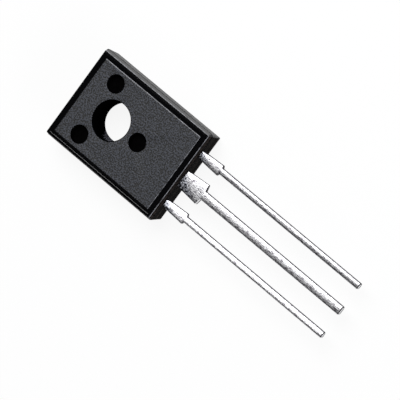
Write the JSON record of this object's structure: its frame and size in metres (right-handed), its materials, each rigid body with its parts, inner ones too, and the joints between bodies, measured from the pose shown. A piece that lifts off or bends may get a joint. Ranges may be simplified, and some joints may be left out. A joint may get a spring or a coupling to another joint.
{
  "type": "npn power transistor",
  "caption": "Flat moulded power transistor with a screw hole, a bare metal tab in its back and a row of straight leads, for switching or amplifying current.",
  "frame": {"origin": "on the screw hole's axis at the back face", "axes": "+Z along the screw hole, out of the front face; +Y towards the top end, so the leads run towards -Y; +X across the leads, on the base lead's side"},
  "size_m": [0.0078, 0.0263, 0.0024],
  "materials": {
    "epoxy_case": "moulded black epoxy, fine matt front face, polished border and walls",
    "tinned_copper": "copper alloy strip, bright tin coat",
    "silicon": "polished silicon with metal pads",
    "solder": "dull solder",
    "aluminium_wire": "drawn aluminium"
  },
  "bodies": {
    "root": {"moulded_body": "epoxy_case", "collector_frame": "tinned_copper", "emitter_lead": "tinned_copper", "base_lead": "tinned_copper", "silicon_die": "silicon", "die_solder": "solder", "emitter_bond_wire": "aluminium_wire", "base_bond_wire": "aluminium_wire"}
  },
  "joints": []
}
